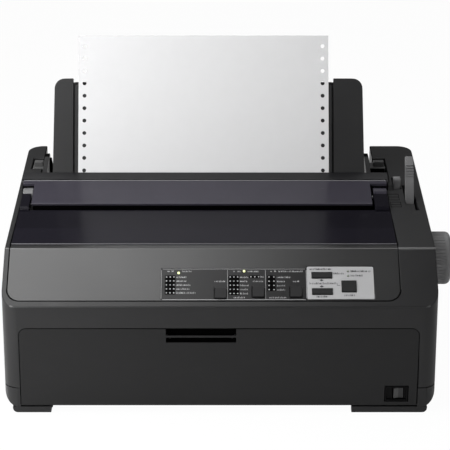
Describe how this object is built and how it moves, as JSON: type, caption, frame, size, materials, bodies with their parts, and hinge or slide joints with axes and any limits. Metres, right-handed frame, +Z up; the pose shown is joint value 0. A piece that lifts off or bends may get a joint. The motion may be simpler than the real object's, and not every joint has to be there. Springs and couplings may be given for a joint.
{
  "type": "dot matrix printer",
  "caption": "Narrow-carriage serial impact dot matrix printer with smoked covers, sloping key panel, paper knob, levers, rear tractors and a sheet guide holding one sprocket-holed form.",
  "frame": {"origin": "on the desk under the middle of the housing", "axes": "+X to the right as seen from the front, +Y to the back, +Z up"},
  "size_m": [0.429, 0.3005, 0.3024],
  "materials": {
    "housing_black": "fine spark texture",
    "cover_smoked": "smoked, polished",
    "front_cover": "fine spark texture",
    "panel": "fine spark texture",
    "key_plate": "satin",
    "keys": "satin",
    "lamp_lens": "clear dome",
    "circuit_board": "solder lacquer",
    "switch": "satin",
    "rubber_foot": "matt",
    "sheet_guide": "fine spark texture",
    "paper": "uncoated",
    "lever_grey": "satin",
    "knob_grey": "satin",
    "zinc_steel": "zinc plated",
    "bright_steel": "ground",
    "platen_rubber": "ground",
    "acetal": "moulded",
    "brass": "machined",
    "motor_can": "satin",
    "inner_black": "moulded",
    "head_metal": "die cast",
    "ribbon_fabric": "woven, inked",
    "tractor_lid": "moulded"
  },
  "bodies": {
    "housing": {"lower_housing": "housing_black", "rubber_feet": "rubber_foot", "upper_housing": "housing_black", "rear_deck": "housing_black", "cover_hinge_pins": "bright_steel", "control_panel": "panel", "key_plate": "key_plate", "panel_board": "circuit_board", "panel_lamps": "lamp_lens", "switch_housing": "switch", "lever_bracket": "zinc_steel", "base_frame": "zinc_steel", "left_frame": "zinc_steel", "right_frame": "zinc_steel", "cross_stay": "zinc_steel", "platen_bushes": "acetal", "motors": "motor_can", "guide_shafts": "bright_steel", "paper_chute": "inner_black", "drive_belt": "platen_rubber", "main_board": "circuit_board", "power_supply": "zinc_steel", "ac_inlet": "switch", "interface_sockets": "zinc_steel"},
    "paper_cover": {"paper_cover": "cover_smoked"},
    "printer_cover": {"printer_cover": "cover_smoked", "tear_off_bar": "bright_steel"},
    "front_cover": {"front_cover": "front_cover"},
    "power_rocker": {"power_rocker": "switch"},
    "sheet_guide": {"sheet_guide": "sheet_guide"},
    "paper_form": {"paper_form": "paper"},
    "thickness_lever": {"thickness_lever": "lever_grey"},
    "release_lever": {"release_lever": "lever_grey"},
    "platen": {"paper_knob": "knob_grey", "platen_shaft": "bright_steel", "platen_roller": "platen_rubber", "platen_gear": "acetal"},
    "transfer_gear": {"transfer_gear": "acetal"},
    "idler_gear": {"idler_gear": "acetal"},
    "tractor_drive": {"tractor_shaft": "bright_steel", "tractor_gear": "acetal"},
    "feed_pinion": {"feed_pinion": "brass"},
    "pinch_roller": {"pinch_roller": "platen_rubber"},
    "carriage": {"carriage": "inner_black", "print_head": "head_metal", "ribbon_cartridge": "inner_black", "ribbon": "ribbon_fabric"},
    "motor_pulley": {"motor_pulley": "acetal"},
    "idler_pulley": {"idler_pulley": "acetal"},
    "left_tractor": {"left_tractor": "inner_black"},
    "right_tractor": {"right_tractor": "inner_black"},
    "left_tractor_lid": {"left_tractor_lid": "tractor_lid"},
    "right_tractor_lid": {"right_tractor_lid": "tractor_lid"},
    "tear_off_key": {"tear_off_key": "keys"},
    "font_key": {"font_key": "keys"},
    "pitch_key": {"pitch_key": "keys"},
    "load_key": {"load_key": "keys"},
    "line_feed_key": {"line_feed_key": "keys"},
    "pause_key": {"pause_key": "keys"}
  },
  "joints": [
    {"name": "printer_cover_hinge", "type": "hinge", "parent": "housing", "child": "printer_cover", "pos_m": [0, 0.021, 0.15718], "axis": [-1, 0, 0], "range_deg": [0, 85]},
    {"name": "paper_cover_hinge", "type": "hinge", "parent": "housing", "child": "paper_cover", "pos_m": [0, 0.0345, 0.16749], "axis": [-1, 0, 0], "range_deg": [0, 45]},
    {"name": "front_cover_hinge", "type": "hinge", "parent": "housing", "child": "front_cover", "pos_m": [0, -0.148, 0.009], "axis": [1, 0, 0], "range_deg": [0, 80]},
    {"name": "power_rocker_pivot", "type": "hinge", "parent": "housing", "child": "power_rocker", "pos_m": [0.1668, -0.145, 0.02], "axis": [0, 0, 1], "range_deg": [-12, 0]},
    {"name": "sheet_guide_lift", "type": "slide", "parent": "housing", "child": "sheet_guide", "axis": [0, 0.3875, 0.9219], "range_m": [0, 0.06]},
    {"name": "paper_feed", "type": "slide", "parent": "housing", "child": "paper_form", "axis": [0, 0.3875, 0.9219], "range_m": [0, 0.12]},
    {"name": "thickness_lever_pivot", "type": "hinge", "parent": "housing", "child": "thickness_lever", "pos_m": [0.1885, 0.012, 0.112], "axis": [-1, 0, 0], "range_deg": [0, 14]},
    {"name": "release_lever_pivot", "type": "hinge", "parent": "housing", "child": "release_lever", "pos_m": [0.179, 0.05, 0.14], "axis": [-1, 0, 0], "range_deg": [0, 14]},
    {"name": "platen_spin", "type": "hinge", "parent": "housing", "child": "platen", "pos_m": [0, -0.0194, 0.1075], "axis": [1, 0, 0], "continuous": true},
    {"name": "transfer_gear_spin", "type": "hinge", "parent": "housing", "child": "transfer_gear", "pos_m": [0, 0.01941, 0.11131], "axis": [1, 0, 0], "continuous": true},
    {"name": "idler_gear_spin", "type": "hinge", "parent": "housing", "child": "idler_gear", "pos_m": [0, 0.05524, 0.11482], "axis": [1, 0, 0], "continuous": true},
    {"name": "tractor_drive_spin", "type": "hinge", "parent": "housing", "child": "tractor_drive", "pos_m": [0, 0.08808, 0.11804], "axis": [1, 0, 0], "continuous": true},
    {"name": "feed_pinion_spin", "type": "hinge", "parent": "housing", "child": "feed_pinion", "pos_m": [0, 0.02991, 0.09312], "axis": [1, 0, 0], "continuous": true},
    {"name": "pinch_roller_spin", "type": "hinge", "parent": "housing", "child": "pinch_roller", "pos_m": [0, -0.01212, 0.08748], "axis": [1, 0, 0], "continuous": true},
    {"name": "carriage_travel", "type": "slide", "parent": "housing", "child": "carriage", "axis": [1, 0, 0], "range_m": [-0.02, 0.188]},
    {"name": "motor_pulley_spin", "type": "hinge", "parent": "housing", "child": "motor_pulley", "pos_m": [-0.149, -0.098, 0.085], "axis": [0, 0, 1], "range_deg": [-1260, 140]},
    {"name": "idler_pulley_spin", "type": "hinge", "parent": "housing", "child": "idler_pulley", "pos_m": [0.124, -0.098, 0.085], "axis": [0, 0, 1], "range_deg": [-1260, 140]},
    {"name": "left_tractor_slide", "type": "slide", "parent": "housing", "child": "left_tractor", "axis": [1, 0, 0], "range_m": [-0.012, 0.08]},
    {"name": "right_tractor_slide", "type": "slide", "parent": "housing", "child": "right_tractor", "axis": [1, 0, 0], "range_m": [-0.08, 0.014]},
    {"name": "left_lid_hinge", "type": "hinge", "parent": "left_tractor", "child": "left_tractor_lid", "pos_m": [-0.1442, 0.08451, 0.13137], "axis": [0, -0.9659, -0.2588], "range_deg": [0, 100]},
    {"name": "right_lid_hinge", "type": "hinge", "parent": "right_tractor", "child": "right_tractor_lid", "pos_m": [0.1108, 0.08451, 0.13137], "axis": [0, 0.9659, 0.2588], "range_deg": [0, 100]},
    {"name": "tear_off_key_press", "type": "slide", "parent": "housing", "child": "tear_off_key", "axis": [0, 0.6294, -0.7771], "range_m": [0, 0.0006], "stiffness_N_per_m": 300, "springref_m": -0.001},
    {"name": "font_key_press", "type": "slide", "parent": "housing", "child": "font_key", "axis": [0, 0.6294, -0.7771], "range_m": [0, 0.0006], "stiffness_N_per_m": 300, "springref_m": -0.001},
    {"name": "pitch_key_press", "type": "slide", "parent": "housing", "child": "pitch_key", "axis": [0, 0.6294, -0.7771], "range_m": [0, 0.0006], "stiffness_N_per_m": 300, "springref_m": -0.001},
    {"name": "load_key_press", "type": "slide", "parent": "housing", "child": "load_key", "axis": [0, 0.6294, -0.7771], "range_m": [0, 0.0006], "stiffness_N_per_m": 300, "springref_m": -0.001},
    {"name": "line_feed_key_press", "type": "slide", "parent": "housing", "child": "line_feed_key", "axis": [0, 0.6294, -0.7771], "range_m": [0, 0.0006], "stiffness_N_per_m": 300, "springref_m": -0.001},
    {"name": "pause_key_press", "type": "slide", "parent": "housing", "child": "pause_key", "axis": [0, 0.6294, -0.7771], "range_m": [0, 0.0006], "stiffness_N_per_m": 300, "springref_m": -0.001}
  ],
  "couplings": [
    {"joint": "transfer_gear_spin", "follows": "platen_spin", "ratio": -1.6},
    {"joint": "idler_gear_spin", "follows": "platen_spin", "ratio": 1.1429},
    {"joint": "tractor_drive_spin", "follows": "platen_spin", "ratio": -2},
    {"joint": "feed_pinion_spin", "follows": "platen_spin", "ratio": 4},
    {"joint": "pinch_roller_spin", "follows": "platen_spin", "ratio": -2.5},
    {"joint": "motor_pulley_spin", "follows": "carriage_travel", "rad_per_m": -116.28},
    {"joint": "idler_pulley_spin", "follows": "carriage_travel", "rad_per_m": -116.28}
  ]
}
